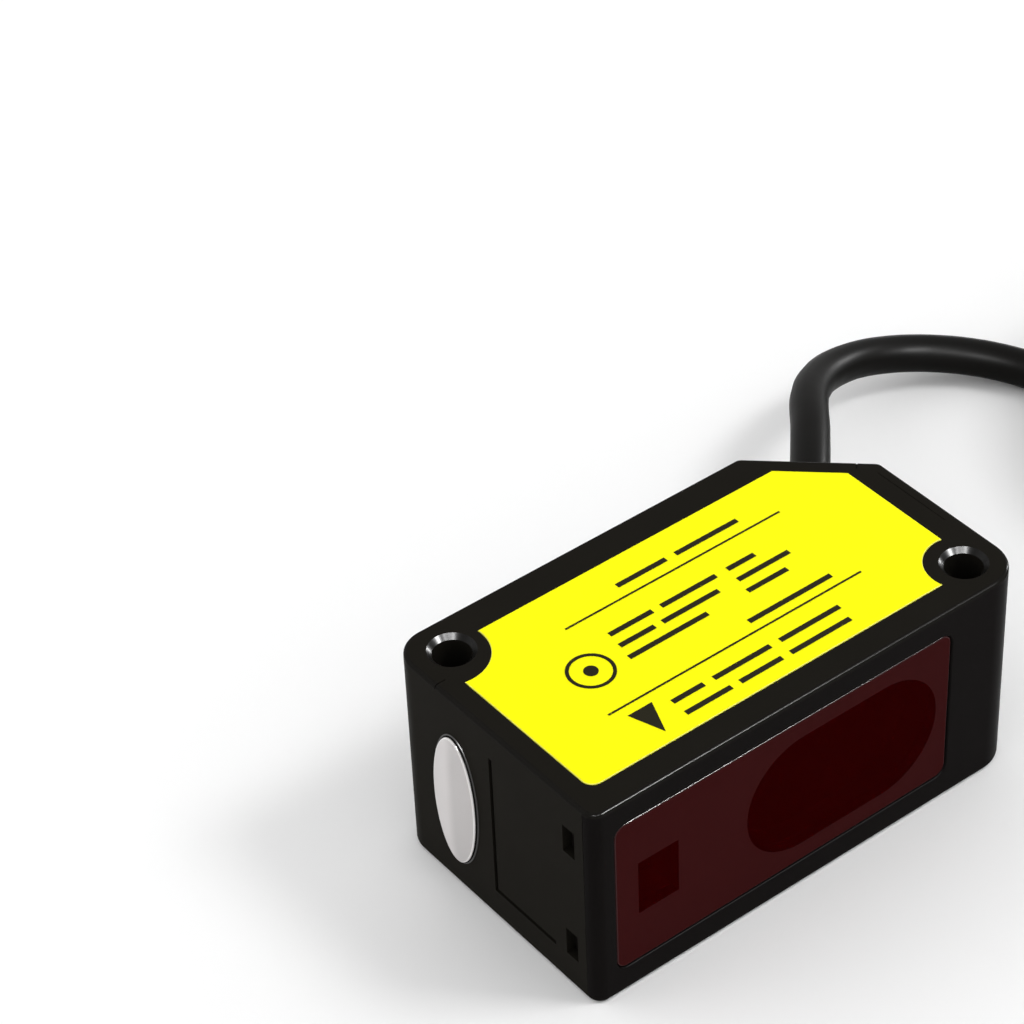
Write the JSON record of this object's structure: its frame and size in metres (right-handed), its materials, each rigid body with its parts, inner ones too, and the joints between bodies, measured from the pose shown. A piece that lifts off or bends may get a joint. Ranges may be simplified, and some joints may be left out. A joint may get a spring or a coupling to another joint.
{
  "type": "laser photoelectric sensor",
  "caption": "Compact rectangular laser distance sensor with a dark red window, an oval indicator, a digital display with push keys and a cable that leaves a chamfered corner.",
  "frame": {"origin": "middle of the footprint of the case, at the height of the surface it lies on", "axes": "+X towards the end where the cable leaves, -Y out of the optical window, +Y out of the display face, +Z out of the label side"},
  "size_m": [0.1392, 0.0698, 0.0201],
  "materials": {
    "case_black": "satin moulded plastic",
    "cover_black": "satin moulded plastic",
    "frame_black": "satin moulded plastic",
    "seal_rubber": "matte",
    "window_red": "polished dark red filter",
    "label_yellow": "printed film",
    "print_black": "ink",
    "diffuser_white": "milky diffuser",
    "clear_stem": "clear",
    "lamp_body": "moulded resin",
    "panel_smoke": "polished smoked sheet",
    "lamp_red": "clear tinted",
    "lamp_green": "clear tinted",
    "key_grey": "smooth moulded",
    "key_ink": "ink",
    "stem_black": "moulded",
    "switch_metal": "plain stamped",
    "display_black": "smooth",
    "segment_grey": "unlit segments",
    "board_green": "solder mask",
    "chip_black": "moulded resin",
    "connector_cream": "moulded",
    "chassis_black": "matte moulded",
    "screw_steel": "bright",
    "diode_gold": "gold plated",
    "lens_glass": "clear polished",
    "ring_brass": "turned",
    "lens_plastic": "clear moulded",
    "sensor_chip": "smooth",
    "boot_rubber": "matte",
    "cable_black": "satin jacket",
    "clamp_steel": "plain",
    "core_mixed": "insulated cores",
    "tie_black": "smooth strip",
    "core_brown": "insulated core",
    "core_blue": "insulated core",
    "core_black": "insulated core",
    "core_white": "insulated core",
    "core_grey": "insulated core",
    "tin": "tinned strands"
  },
  "bodies": {
    "sensor": {"main_case": "case_black", "side_cover": "cover_black", "cover_seal": "seal_rubber", "front_bezel": "frame_black", "window_gasket": "seal_rubber", "window": "window_red", "label": "label_yellow", "label_print": "print_black", "indicator_lens": "diffuser_white", "light_guide": "clear_stem", "indicator_led": "lamp_body", "display_panel": "panel_smoke", "power_lamp": "lamp_red", "laser_lamp": "lamp_green", "key_switches": "switch_metal", "display_module": "display_black", "display_segments": "segment_grey", "status_bars": "segment_grey", "display_board": "board_green", "main_board": "board_green", "sensor_board": "board_green", "front_header": "chip_black", "rear_header": "chip_black", "processor": "chip_black", "cable_connector": "connector_cream", "optics_chassis": "chassis_black", "chassis_screws": "screw_steel", "laser_diode": "diode_gold", "collimator_lens": "lens_glass", "lens_ring": "ring_brass", "receiver_lens": "lens_plastic", "image_sensor": "sensor_chip", "cable_boot": "boot_rubber", "cable_entry": "cable_black", "cable_clamp": "clamp_steel", "inner_leads": "core_mixed", "cable": "cable_black", "cable_coil": "cable_black", "coil_tie": "tie_black", "cable_tail": "cable_black", "lead_brown": "core_brown", "lead_blue": "core_blue", "lead_black": "core_black", "lead_white": "core_white", "lead_grey": "core_grey", "lead_tips": "tin"},
    "set_key": {"set_button": "key_grey", "set_mark": "key_ink", "set_plunger": "stem_black"},
    "up_key": {"up_button": "key_grey", "up_mark": "key_ink", "up_plunger": "stem_black"},
    "down_key": {"down_button": "key_grey", "down_mark": "key_ink", "down_plunger": "stem_black"}
  },
  "joints": [
    {"name": "set_press", "type": "slide", "parent": "sensor", "child": "set_key", "axis": [0, -1, 0], "range_m": [0, 0.00025], "stiffness_N_per_m": 2000},
    {"name": "up_press", "type": "slide", "parent": "sensor", "child": "up_key", "axis": [0, -1, 0], "range_m": [0, 0.00025], "stiffness_N_per_m": 2000},
    {"name": "down_press", "type": "slide", "parent": "sensor", "child": "down_key", "axis": [0, -1, 0], "range_m": [0, 0.00025], "stiffness_N_per_m": 2000}
  ]
}
